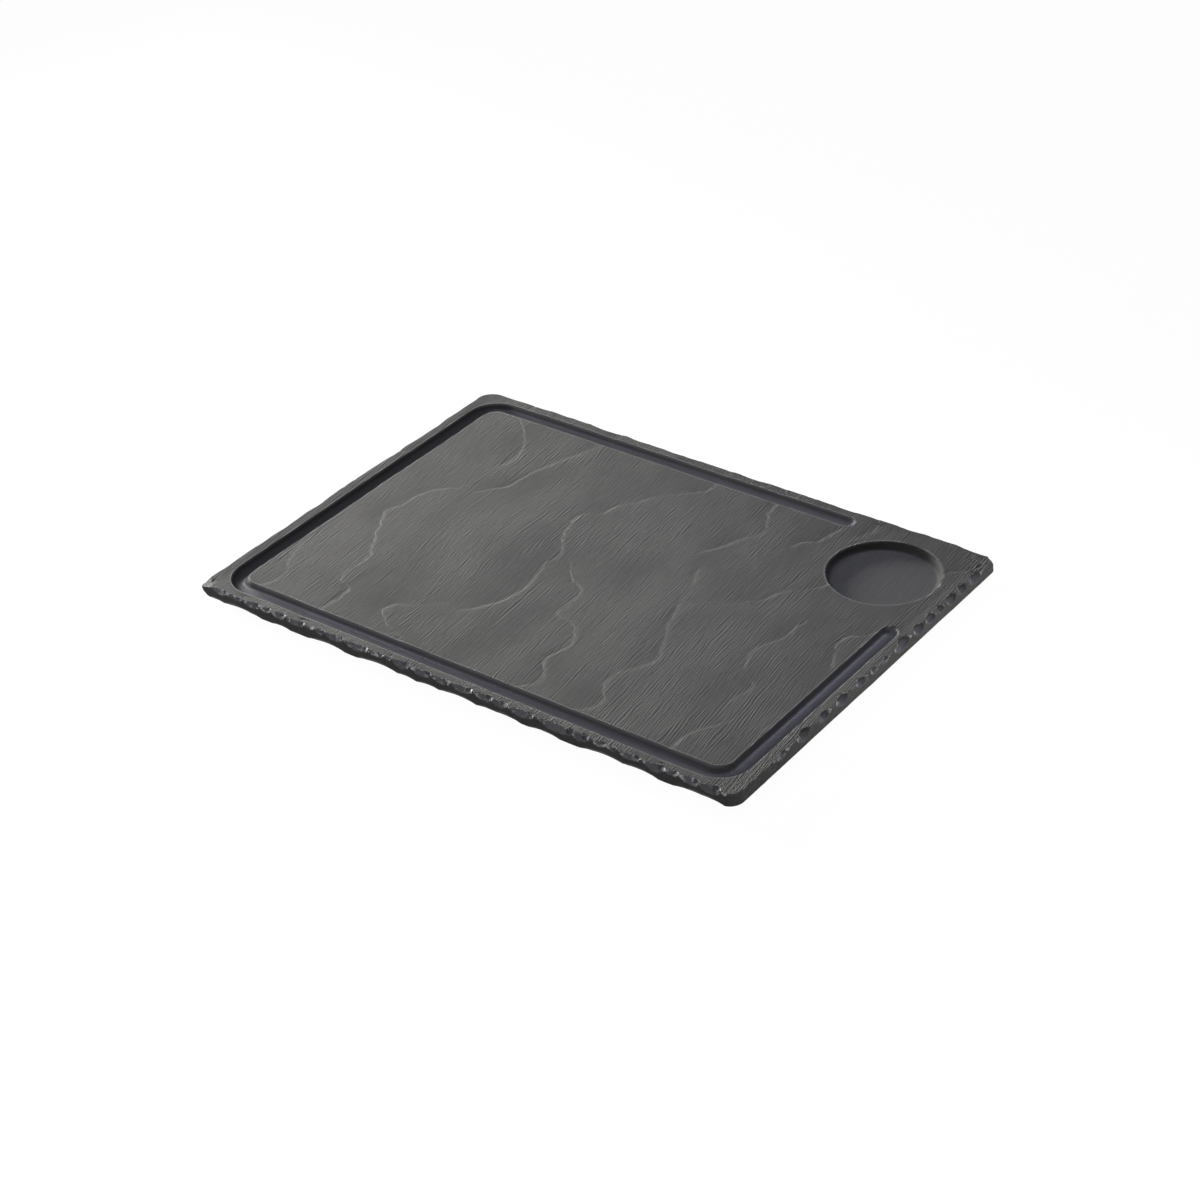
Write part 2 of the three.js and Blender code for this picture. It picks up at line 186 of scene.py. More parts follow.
# The riven face. Each ledge runs from the back of the plate to its front, with the low side on its right. A
# fade is the length over which it dies out at its start and its stop, and is 0 where it leaves the plate.
ledges = {
    "scarp": 0.38,  # width of a scarp in plan
    "spacing": 0.8,  # samples along a line
    "jag": 1.25,  # how far a line strays from side to side
    "jagLengths": (5.5, 2.3),  # over which it strays, the second by half as much
    "uneven": (0.7, 0.55),  # its least height as a share, and how much more it may be
    "unevenLength": 16,  # over which that comes and goes
    "stepScale": 0.45,  # makes every step higher or lower
    "leastStep": 0.05,  # height from which the grid steps onto it
    "creasedFrom": 0.95,  # freedom from which a point there is creased
    "wornAndHighlitWidth": 0.35,  # width of the lip that is painted paler, as rubbed and in part as a painted highlight
    "rubbedAndHighlit": 0.15,  # strength of it
    "rubbedAndHighlitFrom": (0.1, 0.3),  # heights between which it sets in
    "pastEnd": 1,  # how far past the end of a line it goes on
    "batch": 4000,  # points that are looked at together
    "lines": [
        {"step": 0.6, "reach": 24, "fades": (0, 0), "points": [
            (-129, 121), (-127, 102), (-118, 93), (-107, 78), (-104, 62), (-105, 58), (-111, 54),
            (-123, 52), (-140, 49), (-150, 45), (-166, 36)]},
        {"step": 0.75, "reach": 26, "fades": (0, 0), "points": [
            (-68, 121), (-72, 102), (-78, 86), (-87, 59), (-90, 41), (-94, 36), (-102, 27), (-109, 26),
            (-120, 18), (-125, 5), (-126, -8), (-129, -14), (-125, -20), (-116, -38), (-108, -51),
            (-106, -60), (-108, -68), (-105, -77), (-97, -81), (-94, -91), (-96, -104), (-96, -121)]},
        {"step": 0.5, "reach": 14, "fades": (8, 0), "points": [
            (-149, -58), (-144, -65), (-139, -79), (-133, -88), (-133, -95), (-136, -104), (-134, -121)]},
        {"step": 0.75, "reach": 26, "fades": (0, 0), "points": [
            (4, 121), (3, 95), (-5, 86), (-15, 76), (-21, 65), (-28, 55), (-29, 48), (-37, 42), (-39, 37),
            (-38, 29), (-33, 15), (-26, 5), (-25, -11), (-21, -29), (-22, -44), (-26, -53), (-32, -63),
            (-37, -67), (-43, -65), (-55, -74), (-68, -81), (-69, -85), (-63, -93), (-50, -99), (-42, -104),
            (-38, -121)]},
        {"step": 0.65, "reach": 22, "fades": (25, 0), "points": [
            (-25, 6), (-12, -5), (-6, -12), (4, -19), (7, -28), (8, -43), (20, -46), (27, -54), (29, -62),
            (26, -77), (33, -88), (36, -95), (29, -103), (18, -121)]},
        {"step": 0.75, "reach": 24, "fades": (0, 16), "points": [
            (38, 121), (42, 103), (44, 92), (51, 79), (52, 75), (46, 66), (42, 55), (35, 43), (31, 35)]},
        {"step": 0.8, "reach": 12, "fades": (4, 6), "points": [(43, 31), (46, 22), (50, 14)]},
        {"step": 0.9, "reach": 22, "fades": (4, 10), "points": [
            (84, 103), (82, 91), (80, 85), (74, 79), (70, 67)]},
        {"step": 0.9, "reach": 14, "fades": (0, 6), "points": [(94, 121), (98, 109), (97, 102), (93, 93)]},
        {"step": 1.0, "reach": 24, "fades": (0, 12), "points": [
            (107, 53), (102, 45), (91, 34), (84, 21), (75, 11)]},
        {"step": 0.75, "reach": 26, "fades": (8, 0), "points": [
            (97, 19), (83, 14), (66, 5), (54, -2), (55, -7), (59, -19), (67, -36), (72, -49), (69, -57),
            (62, -71), (63, -79), (70, -90), (69, -97), (62, -104), (57, -121)]},
        {"step": 0.75, "reach": 20, "fades": (8, 8), "points": [
            (114, 22), (113, 3), (107, -14), (107, -20), (110, -27), (114, -35)]},
        {"step": 0.7, "reach": 16, "fades": (6, 8), "points": [
            (119, -36), (124, -41), (122, -52), (122, -65)]},
        {"step": 0.65, "reach": 18, "fades": (6, 0), "points": [
            (132, -66), (126, -78), (119, -92), (119, -99), (124, -121)]},
        {"step": 0.8, "reach": 16, "fades": (3, 8), "points": [
            (151, 33), (145, 24), (139, 18), (138, 9), (141, 2), (149, -11)]},
        {"step": 1.0, "reach": 12, "fades": (3, 0), "points": [(163, 110), (158, 101), (152, 94)]},
    ],
}


# A ledge's line at even spacing: cubic pieces through its points, with the slopes of their chords, and then
# two scales of noise to either side. It also gives the heading and the height at each sample.
def traceLedge(line, seed):
    points = np.array(line["points"], float)
    at = np.append(0, np.cumsum(np.hypot(*np.diff(points, axis=0).T)))
    slope = np.gradient(points, at, axis=0)
    s = np.arange(0, at[-1], ledges["spacing"])
    i = np.searchsorted(at, s, side="right") - 1
    span = (at[i + 1] - at[i])[:, None]
    t = (s - at[i])[:, None] / span
    path = (
        points[i] * (1 + 2 * t) * (1 - t) ** 2
        + slope[i] * span * t * (1 - t) ** 2
        + points[i + 1] * t * t * (3 - 2 * t)
        + slope[i + 1] * span * t * t * (t - 1)
    )
    heading = np.gradient(path, axis=0)
    heading /= np.linalg.norm(heading, axis=1, keepdims=True)
    coarse, fine = (smoothNoise(s / size, 0 * s, seed + size) - 0.5 for size in ledges["jagLengths"])
    stray = ledges["jag"] * (coarse + fine / 2)
    path += stray[:, None] * np.stack([-heading[:, 1], heading[:, 0]], 1)
    heading = np.gradient(path, axis=0)
    heading /= np.linalg.norm(heading, axis=1, keepdims=True)
    start, stop = line["fades"]
    fade = np.ones_like(s)
    if start:
        fade *= ease(s, 0, start)
    if stop:
        fade *= ease(at[-1] - s, 0, stop)
    least, more = ledges["uneven"]
    uneven = least + more * smoothNoise(s / ledges["unevenLength"], 0 * s, seed + 0.5)
    height = ledges["stepScale"] * line["step"] * fade * uneven
    return {"path": path, "heading": heading, "height": height, "reach": line["reach"]}


traced = [traceLedge(line, seed) for seed, line in enumerate(ledges["lines"])]


# Signed distance across a ledge, positive on its raised side: the nearest sample is found, and the offset
# from it is crossed with the heading there. Only points within reach are looked at, a batch at a time.
def acrossLedge(ledge, x, y, reach):
    path, heading = ledge["path"], ledge["heading"]
    low, high = path.min(0) - reach, path.max(0) + reach
    near = np.flatnonzero((x > low[0]) & (x < high[0]) & (y > low[1]) & (y < high[1]))
    batches = np.array_split(near, len(near) // ledges["batch"] + 1)
    squares = ((x[b, None] - path[:, 0]) ** 2 + (y[b, None] - path[:, 1]) ** 2 for b in batches)
    nearest = np.concatenate([np.argmin(square, axis=1) for square in squares])
    offset = np.stack([x[near], y[near]], 1) - path[nearest]
    across = heading[nearest, 0] * offset[:, 1] - heading[nearest, 1] * offset[:, 0]
    ahead = np.abs(heading[nearest, 0] * offset[:, 0] + heading[nearest, 1] * offset[:, 1])
    return near, nearest, across, ahead


# Steps the grid points nearest a ledge onto its lip or its foot, so that the scarp is one clean strip, and
# spreads the next ones evenly behind them. Freedom is 0 where a point has to stay. The result numbers the
# points of each lip and each foot, so that they can be creased.
def stepOntoLedges(x, y, freedom):
    half = slab["cell"] / 2
    crease = np.zeros(len(x), int)
    for n, ledge in enumerate(traced):
        near, nearest, across, ahead = acrossLedge(ledge, x, y, 3 * half)
        foot = np.where(across < 0, ledges["scarp"], 0)
        behind = np.clip((np.abs(across) - half) / (2 * half), 0, 1)
        target = np.sign(across) * (foot + (3 * half - foot) * behind)
        held = freedom[near] * (np.abs(across) < 3 * half) * (ahead < half)
        held *= ledge["height"][nearest] > ledges["leastStep"]
        shift = (target - across) * held
        x[near] -= shift * ledge["heading"][nearest, 1]
        y[near] += shift * ledge["heading"][nearest, 0]
        stepped = (held > ledges["creasedFrom"]) & (np.abs(across) < half)
        crease[near[stepped]] = np.where(across[stepped] < 0, 2 * n + 1, 2 * n + 2)
    return crease


grain = {
    "lean": 5,  # from the plate's width
    "sway": (70, 7),  # and it wanders to either side, over this length by this much
    "swaySeed": 60,
    "waves": ((26, 55, 0.4), (13, 26, 0.12)),  # across the grain, along it, and depth
    "waveSeed": 40,
}


# Places in the grain: across is x with y's lean added, so that a line of grain is a line of equal across.
def grainPlace(x, y):
    length, stray = grain["sway"]
    sway = stray * (smoothNoise(x / length, y / length, grain["swaySeed"]) - 0.5)
    return x + y * np.tan(np.radians(grain["lean"])) + sway, y


# Level of the riven face: each flake is deepest at its scarp and runs out over its reach, by the fourth
# power of what is left of it, and long low waves follow the grain. The second result is how far a lip is
# rubbed and painted paler, in part as a painted highlight.
def rivenLevel(x, y):
    level = np.zeros_like(x)
    rubbedAndHighlit = np.zeros_like(x)
    for ledge in traced:
        near, nearest, across, ahead = acrossLedge(ledge, x, y, ledge["reach"])
        low = np.maximum(-across, 0)
        fall = np.clip(low / ledges["scarp"], 0, 1) * np.clip(1 - low / ledge["reach"], 0, 1) ** 4
        height = ledge["height"][nearest]
        level[near] -= height * fall
        lip = 1 - ease(np.abs(across), 0, ledges["wornAndHighlitWidth"])
        lip = ledges["rubbedAndHighlit"] * lip * ease(height, *ledges["rubbedAndHighlitFrom"]) * (ahead < ledges["pastEnd"])
        rubbedAndHighlit[near] = np.maximum(rubbedAndHighlit[near], lip)
    across, along = grainPlace(x, y)
    for seed, (width, length, depth) in enumerate(grain["waves"], grain["waveSeed"]):
        level -= depth * smoothNoise(across / width, along / length, seed)
    return level, rubbedAndHighlit


# The whole face: the riven level, which rolls down along the rim by the square of the way in, cut by the
# groove and the well. Also how far a point has the tone of a cut, how far it is rubbed and painted paler,
# in part as a painted highlight, how far it is polished, as the gentle slopes of a cut are, and how far it
# has the painted shade of the groove's left side and of the well's wall.
def faceLevel(x, y):
    riven, rubbedAndHighlit = rivenLevel(x, y)
    inset = np.minimum(halfLength - np.abs(x), halfWidth - np.abs(y))
    riven -= slab["rimFall"] * np.clip(inset / slab["rimWidth"], 0, 1) ** 2
    distance = fromGroove(x, y)
    radius = np.hypot(x - wellX, y - wellY)
    level = softLower(riven, grooveLevel(distance), groove["arris"])
    level = softLower(level, wellLevel(radius), well["arris"])
    atWell = radius < wellRadius + well["surround"]
    inCut = ease(riven - level, *slab["cutDepths"])
    step = slab["slopeStep"]
    grooveSlope = (grooveLevel(distance + step) - grooveLevel(distance - step)) / (2 * step)
    wellSlope = (wellLevel(radius + step) - wellLevel(radius - step)) / (2 * step)
    polished = inCut * (1 - ease(np.where(atWell, wellSlope, grooveSlope), *slab["polishSlopes"]))
    start, stop = (grooveX - reach for reach in groove["leftBends"])
    bends = ease(-x, start, stop) * ease(grooveSlope, *groove["bendSlopes"])
    leftSide = np.maximum(ease(-x, grooveX - groove["leftRun"], grooveX), bends)
    # Painted shade: a dark tone on the well's wall, and on the groove's left run and the steep parts of its
    # bends
    wellDark = well["wallShade"] * ease(wellSlope, *well["wallSlopes"])
    paintedShade = inCut * np.where(atWell, wellDark, leftSide)
    inCut *= np.where(atWell, well["shade"], 1)
    polished *= np.where(atWell, well["shine"], 1 - (1 - groove["leftShine"]) * leftSide)
    arris = 1 - ease(np.abs(distance - groove["width"] / 2), 0, groove["wornAndHighlitWidth"])
    wellArris = 1 - ease(np.abs(radius - wellRadius), 0, well["wornAndHighlitWidth"])
    rubbedAndHighlit = np.maximum(rubbedAndHighlit, np.maximum(arris, wellArris))
    return level, inCut, rubbedAndHighlit, polished, paintedShade


panelX = grooveX - groove["width"] / 2 - slab["panelMargin"]
panelY = grooveY - groove["width"] / 2 - slab["panelMargin"]
cellsX, cellsY = (round(2 * half / slab["cell"]) for half in (panelX, panelY))


# Stations round the panel, anticlockwise from its front left corner: the side of each, and its share of it.
def stationsRound(perCell):
    counts = np.array([cellsX, cellsY, cellsX, cellsY]) * perCell
    side = np.repeat(np.arange(4), counts)
    first = np.repeat(np.cumsum(counts) - counts, counts)
    return side, (np.arange(counts.sum()) - first) / counts[side]


# A rounded rectangle walked by the stations: along a side the arc centres of its two corners are blended,
# and the point stands one radius out, at an angle that turns by 45 degrees through the corner zone at each
# end. The second result is the way out.
def roundLoop(halfX, halfY, radii, stations):
    side, share = stations
    after = (side + 1) % 4
    zone = slab["cornerZone"]
    length = np.where(side % 2 == 0, 2 * panelX, 2 * panelY)
    fromStart = np.clip(share * length / zone, 0, 1)
    toStop = np.clip((1 - share) * length / zone, 0, 1)
    angle = np.radians(90 * side - 90 + 45 * (fromStart - toStop))
    run = np.clip((share * length - zone) / (length - 2 * zone), 0, 1)[:, None]
    radii = np.broadcast_to(radii, 4)[:, None]
    centres = np.array([[-1, -1], [1, -1], [1, 1], [-1, 1]]) * (np.array([halfX, halfY]) - radii)
    out = np.stack([np.cos(angle), np.sin(angle)], 1)
    centre = centres[side] * (1 - run) + centres[after] * run
    return centre + (radii[side] * (1 - run) + radii[after] * run) * out, out


# The plate's outline, drawn in by an inset.
def outlineLoop(inset, stations):
    radii = np.maximum(slab["cornerRadii"] - inset, slab["leastRadius"])
    return roundLoop(halfLength - inset, halfWidth - inset, radii, stations)


# The groove's centreline as a closed loop, moved out by an offset.
def grooveLoop(offset, stations):
    return roundLoop(grooveX + offset, grooveY + offset, groove["cornerRadius"] + offset, stations)[0]


edge = {
    "batter": 0.5,  # how far the upper arris leans in from the foot
    "footChamfer": 0.6,
    "rimInsets": (4.6, 3.9, 3.25, 2.65, 2.1, 1.6, 1.15, 0.8),  # rows on the face, from the rim to the arris
    "wallDrops": (0.45, 1.0, 1.65, 2.4, 3.2, 4.0, 4.8, 5.6, 6.3, 6.9),  # rows down the wall
    "underInsets": (1.6, 3.2, 6.0),  # rows under the foot
    "bottomInset": 10,  # and the outline of the flat bottom
    "waves": ((47, 0.55), (15, 0.4), (9, 0.6)),  # lengths over which the outline wanders in, and how far
    "wavesBySide": (0.8, 0.2, 1.3, 1.7),  # front, right, back, left
    "calmCorners": 1.6,  # how fast that dies away towards a corner
    "waveInsets": (2, 4.6),  # insets between which it ends on the face
    "levelDrop": 3,  # how far down the wall the level of the face is followed
    "wallDrop": 1.2,  # drop at which the wall has its full painted shade
    "fracture": ((5, 0.3), (2.2, 0.16)),  # size and depth of the roughness of a broken face
    "fractureSeed": 20,
    "fractureDrops": (7, 7.5),  # drops between which it ends
    "fractureTurn": 30,  # length of it that a radian of corner takes up
    # Scallops along the front and the right: from, to, how far they bite into the face, how far they drop
    "front": [
        (-156, -146, 1.6, 3.2), (-146, -141, 0.8, 2.0), (-142, -135, 1.3, 2.6), (-135, -123, 1.5, 3.0),
        (-123, -116, 1.3, 2.6), (-116, -106, 1.7, 3.4), (-106, -93, 1.6, 3.2), (-93, -87, 1.0, 2.2),
        (-87, -80, 1.3, 2.8), (-80, -68, 1.7, 3.4), (-68, -52, 1.8, 3.4), (-52, -42, 1.0, 2.4),
        (-42, -37, 0.9, 2.2), (-37, -26, 2.2, 4.2), (-25, -12, 1.7, 3.6), (-12, 0, 1.6, 3.2),
        (0, 13, 1.9, 3.6), (14, 25, 2.0, 3.6), (25, 34, 2.1, 4.2), (34, 50, 2.0, 3.8), (51, 74, 2.2, 4.0),
        (72, 82, 2.4, 4.6), (84, 92, 1.7, 3.2), (92, 98, 1.5, 3.0), (99, 112, 1.7, 3.4),
        (113, 126, 2.1, 4.0), (126, 133, 1.6, 3.2), (133, 145, 1.9, 3.6), (145, 156, 2.4, 4.8),
        (156, 163, 1.2, 2.6),
    ],
    "right": [
        (92, 105, 2.6, 5.6), (81, 90, 2.4, 5.6), (70, 80, 3.0, 5.8), (61, 68, 2.2, 5.4), (50, 60, 2.8, 5.8),
        (38, 49, 2.8, 5.8), (20, 36, 3.2, 5.8), (8, 15, 1.4, 4.0), (-2, 5, 1.6, 4.4), (-15, -4, 2.2, 5.4),
        (-33, -21, 2.4, 5.6), (-48, -37, 2.2, 5.4), (-67, -54, 2.4, 5.4), (-88, -72, 1.0, 2.6),
    ],
    "scallop": (1.1, 0.8),  # the length and the bite of its ball, as shares of those given
    # The deeper scoop at one end of it: its share of the length, its longest, and how much more it bites
    "spoon": {"front": (0.5, 6, 1.45), "right": (0.85, 12, 1.5)},
    "brokenDepth": 0.25,  # depth of cut at which it looks broken all through
    # Crushing, which paints the stone paler as crushed stone and in part as painted glints: the depth of
    # cut at which it sets in, the ranges over which it ends inwards, round the point that was struck, and
    # downwards, and how strong it is along the rim of a cut
    "crushedAndGlint": {"from": 0.1, "depth": (0.15, 0.8), "spread": (0.5, 4.4), "fall": (0.8, 3.2), "rim": 0.8},
    "crushAndGlintStrength": {"front": 1, "right": 0.6},  # strength of it on a side
    "scoopShadeBySide": {"front": 0.6, "right": 1},  # how dark the painted shade on the inner wall of a scoop is
    "pitDepth": 0.8,  # depth of cut at which that is full
    "pitFall": (1.2, 3.2),  # drops between which it gives way to the paler floor
    "wallShadeBySide": (1, 0.4, 1, 1),  # share of the wall's painted shade: front, right, back, left; less on the right, where more light falls
    "ripple": (2.4, 0.14, 8, 0.5),  # rings round a struck point: spacing, height, spread, cut needed
    # Smaller, duller breaks that follow a pitch: length, bite and drop, each varied by the mix
    "back": {"pitch": 14, "length": 16, "bite": 0.7, "drop": 2.2},
    "left": {"pitch": 12, "length": 14, "bite": 2.0, "drop": 0.2},
    "foot": {"pitch": 17, "length": 19, "bite": 1.1, "drop": 1.4},
    "mix": (0.4, 1.6),
    "upperSeeds": (3, 9),  # of their sizes and of their shifts
    "footSeeds": (5, 13),
    "endGap": 8,  # from a corner to the first of them
    "dull": 0.5,  # how fresh they look beside the struck ones
    # Breaks across a corner: sign of x and y, from above or below, length, bite, drop, and whether struck,
    # which paints it paler as crushed stone and in part as painted glints
    "corners": [
        (1, 1, 1, 16, 2.6, 3.4, True), (-1, -1, 1, 50, 10, 2.0, False), (-1, -1, -1, 30, 3.5, 4.0, False),
    ],
}


# A ball that bites the edge: it passes the bite on the face and the drop on the wall, over the given
# length. Points inside it move out to its surface, straight away from its centre. If a point was struck, a
# cosine of the distance from it leaves rings, the stone is painted paler round it and where the cut is
# shallow, as crushed stone and in part as painted glints, and the upper part of the cut is painted in
# shade.
def biteWithBall(
    points, marks, at, out, level, upwards, length, bite, drop, struck=None, crushAndGlintStrength=1, scoopShadeStrength=0
):
    broken, crushedAndGlint, paintedScoopShade = marks
    radius = (length**2 / 4 + bite**2) / (2 * bite)
    lean = np.arctan2(bite, drop)
    reach = radius - bite * np.cos(lean)
    across = reach * np.cos(lean)
    rise = upwards * reach * np.sin(lean)
    centre = np.array([at[0] + out[0] * across, at[1] + out[1] * across, level + rise])
    away = points - centre
    distance = np.linalg.norm(away, axis=-1)
    inside = distance < radius
    cut, distance = radius - distance[inside], distance[inside]
    fresh = edge["dull"] if struck is None else 1
    broken[inside] = np.maximum(broken[inside], fresh * ease(cut, 0, edge["brokenDepth"]))
    if struck is None:
        points[inside] = centre + away[inside] * (radius / distance)[:, None]
        return
    spacing, height, spread, depth = edge["ripple"]
    fromStruck = np.linalg.norm(points[inside] - np.array([*struck, level]), axis=-1)
    ring = height * (0.5 + 0.5 * np.cos(2 * np.pi * fromStruck / spacing)) * ease(cut, 0, depth)
    ring *= 1 - ease(fromStruck, 0, spread)
    points[inside] = centre + away[inside] * ((radius - ring) / distance)[:, None]
    crushAndGlintSettings = edge["crushedAndGlint"]
    fall = level - points[inside, 2]
    shallow = ease(cut, 0, crushAndGlintSettings["from"]) * (1 - ease(cut, *crushAndGlintSettings["depth"]))
    paleAndGlint = np.maximum(crushAndGlintSettings["rim"] * shallow, 1 - ease(fromStruck, *crushAndGlintSettings["spread"]))
    paleAndGlint *= crushAndGlintStrength * (1 - ease(np.abs(fall), *crushAndGlintSettings["fall"]))
    crushedAndGlint[inside] = np.maximum(crushedAndGlint[inside], paleAndGlint)
    innerWall = ease(cut, 0, edge["pitDepth"]) * (1 - ease(fall, *edge["pitFall"]))
    paintedScoopShade[inside] = np.maximum(paintedScoopShade[inside], scoopShadeStrength * innerWall)


# A value given for each side, at a place that faces a way out: the squares of the two parts of that way
# share it between the sides.
def bySide(values, outX, outY):
    front, right, back, left = values
    return np.where(outX > 0, right, left) * outX**2 + np.where(outY > 0, back, front) * outY**2


# How far the trimmed outline wanders in at a place: noise at each length, times its depth, times the weight
# of the side. It dies away at the corners, with the product of the two parts of the way out.
def wanderAt(x, y, outX, outY):
    waves = sum(depth * smoothNoise(x / size, y / size, size) for size, depth in edge["waves"])
    return waves * bySide(edge["wavesBySide"], outX, outY) * (1 - edge["calmCorners"] * np.abs(outX * outY))


# Where a distance along a side of the plate lies on the upper arris as trimmed, and the way out from there.
def onSide(name, along):
    out = {"front": (0, -1), "back": (0, 1), "right": (1, 0), "left": (-1, 0)}[name]
    x = out[0] * halfLength + along * abs(out[1])
    y = out[1] * halfWidth + along * abs(out[0])
    inset = edge["batter"] + float(wanderAt(x, y, *out))
    return (x - out[0] * inset, y - out[1] * inset), out


# A row of duller breaks along a side: one at each pitch, its size and its shift from there mixed by noise.
def breakSide(points, marks, name, style, level, upwards, row, seeds):
    half = halfWidth if name == "left" else halfLength
    low, high = edge["mix"]
    start = edge["endGap"] - half
    for n, along in enumerate(np.arange(start, -start, style["pitch"])):
        size, shift = (low + (high - low) * smoothNoise(n, row, seed) for seed in seeds)
        at, out = onSide(name, along + (shift - 1) * style["pitch"])
        cut = (style[key] * size for key in ("length", "bite", "drop"))
        biteWithBall(points, marks, at, out, level, upwards, *cut)


# All that is knapped off: a scallop and its scoop at each listed place, rows of breaks, and the corners.
def knapEdge(points, marks):
    wider, shallower = edge["scallop"]
    for name, (share, longest, deeper) in edge["spoon"].items():
        crushAndGlintStrength, scoopShadeStrength = edge["crushAndGlintStrength"][name], edge["scoopShadeBySide"][name]
        for start, stop, bite, drop in edge[name]:
            struck = onSide(name, stop if name == "front" else start)[0]
            at, out = onSide(name, (start + stop) / 2)
            cut = wider * (stop - start), shallower * bite, drop
            biteWithBall(points, marks, at, out, face, 1, *cut, struck, crushAndGlintStrength)
            scoop = min(share * (stop - start), longest)
            at, out = onSide(name, stop - scoop / 2)
            cut = scoop, deeper * bite, drop
            biteWithBall(points, marks, at, out, face, 1, *cut, struck, crushAndGlintStrength, scoopShadeStrength)
    for name in ("back", "left"):
        breakSide(points, marks, name, edge[name], face, 1, 0, edge["upperSeeds"])
    for name, row in (("front", halfLength), ("back", halfLength), ("left", halfWidth)):
        breakSide(points, marks, name, edge["foot"], under, -1, row, edge["footSeeds"])
    for signX, signY, upwards, length, bite, drop, isStruck in edge["corners"]:
        radius = slab["cornerRadii"][[(-1, -1), (1, -1), (1, 1), (-1, 1)].index((signX, signY))]
        inset = radius * (1 - np.sqrt(0.5)) + edge["batter"]
        at = (signX * (halfLength - inset), signY * (halfWidth - inset))
        out = (signX * np.sqrt(0.5), signY * np.sqrt(0.5))
        level = face if upwards > 0 else under
        struck = at if isStruck else None
        biteWithBall(points, marks, at, out, level, upwards, length, bite, drop, struck)


# The edge as a section carried round the outline: rows on the rim, down the wall and under the foot, on
# stations twice as close as the panel's. The section wanders, is bitten by balls, and is roughened by noise
# where it is broken.
def edgeBand(stations):
    drops = np.array([0] * len(edge["rimInsets"]) + list(edge["wallDrops"]))
    wallInsets = edge["batter"] * (1 - np.array(edge["wallDrops"]) / edge["wallDrops"][-1])
    insets = np.concatenate([edge["rimInsets"], wallInsets, [edge["footChamfer"]], edge["underInsets"]])
    drops = np.append(drops, [face - under] * (1 + len(edge["underInsets"])))
    loops, outs = zip(*(outlineLoop(inset, stations) for inset in insets))
    plan, out = np.array(loops), np.array(outs)
    wander = wanderAt(plan[..., 0], plan[..., 1], out[..., 0], out[..., 1])
    reach = 1 - ease(insets, *edge["waveInsets"])[:, None]
    plan = plan - out * (wander * reach)[..., None]
    ofFace = (values.reshape(plan.shape[:2]) for values in faceLevel(*plan.reshape(-1, 2).T))
    level, inCut, rubbedAndHighlit, polished, _ = ofFace
    sunk = 1 - ease(drops, 0, edge["levelDrop"])[:, None]
    points = np.concatenate([plan, (face - drops[:, None] + level * sunk)[..., None]], axis=2)
    broken, crushedAndGlint, paintedScoopShade = marks = np.zeros((3, *plan.shape[:2]))
    knapEdge(points, marks)
    # the wall, where the dark tone of painted shade is laid
    wallAndPaintedShade = np.broadcast_to(ease(drops, 0, edge["wallDrop"])[:, None], plan.shape[:2])
    onWall = np.maximum(wallAndPaintedShade, broken) * (1 - ease(drops, *edge["fractureDrops"])[:, None])
    turned = np.arctan2(out[..., 1], out[..., 0]) * edge["fractureTurn"]
    alongs = plan[..., 0] + plan[..., 1] + turned
    rough = np.zeros(alongs.shape)
    for size, depth in edge["fracture"]:
        rough += depth * smoothNoise(alongs / size, points[..., 2] / size, edge["fractureSeed"] + size)
    points[..., :2] -= out * (rough * onWall)[..., None]
    bare = 1 - np.maximum(wallAndPaintedShade, broken)
    # Painted shade on the wall, by a share for each side, and on the inner walls of the scoops
    paintedShade = wallAndPaintedShade * (1 - broken) * bySide(edge["wallShadeBySide"], out[..., 0], out[..., 1])
    paintedShade = np.maximum(paintedShade, paintedScoopShade)
    return points, inCut * bare, rubbedAndHighlit * bare, polished * bare, broken * (1 - paintedScoopShade), paintedShade, crushedAndGlint


# Quads between two loops of equally many points, wound to face up when the second lies outside the first.
def bandQuads(inner, outer):
    return np.stack([inner, outer, np.roll(outer, -1), np.roll(inner, -1)], 1)


# Triangles from a loop to one with twice as many points outside it.
def doublingTriangles(inner, outer):
    even, odd = outer[::2], outer[1::2]
    after, evenAfter = np.roll(inner, -1), np.roll(even, -1)
    fans = [(inner, even, odd), (inner, odd, after), (after, odd, evenAfter)]
    return np.concatenate([np.stack(fan, 1) for fan in fans])


# Splits quads into triangles along the diagonal whose ends differ less: in level on the face, so that a
# ledge keeps its line, and in place on the edge.
def splitQuads(quads, values):
    first, second = (np.linalg.norm(values[quads[:, i]] - values[quads[:, i + 2]], axis=1) for i in (0, 1))
    turn = (second < first).astype(int)[:, None]
    a, b, c, d = np.take_along_axis(quads, (np.arange(4) + turn) % 4, axis=1).T
    return np.concatenate([np.stack([a, b, c], 1), np.stack([a, c, d], 1)])


# Puts arrays into a mesh: points in millimetres, lists of face arrays, and one array for each attribute.
# Edges between points of one crease number stay crisp, as do those sharper than an angle.
def makePiece(name, points, faces, attributes, sharpAngle, crease=None):
    mesh = bpy.data.meshes.new(name)
    mesh.from_pydata(points * mm, [], [row for group in faces for row in group.tolist()])
    for key, values in attributes.items():
        kind, field = ("FLOAT_VECTOR", "vector") if values.ndim == 2 else ("FLOAT", "value")
        attribute = mesh.attributes.new(key, kind, "POINT")
        attribute.data.foreach_set(field, values.astype(np.float32).ravel())
    mesh.shade_smooth()
    mesh.set_sharp_from_angle(angle=np.radians(sharpAngle))
    if crease is not None:
        ends = np.empty(2 * len(mesh.edges), int)
        mesh.edges.foreach_get("vertices", ends)
        sharp = np.empty(len(mesh.edges), bool)
        mesh.edges.foreach_get("use_edge_sharp", sharp)
        first, second = crease[ends].reshape(-1, 2).T
        mesh.edges.foreach_set("use_edge_sharp", sharp | ((first == second) & (first > 0)))
    mesh.validate()
    piece = bpy.data.objects.new(name, mesh)
    bpy.context.scene.collection.objects.link(piece)
    return piece


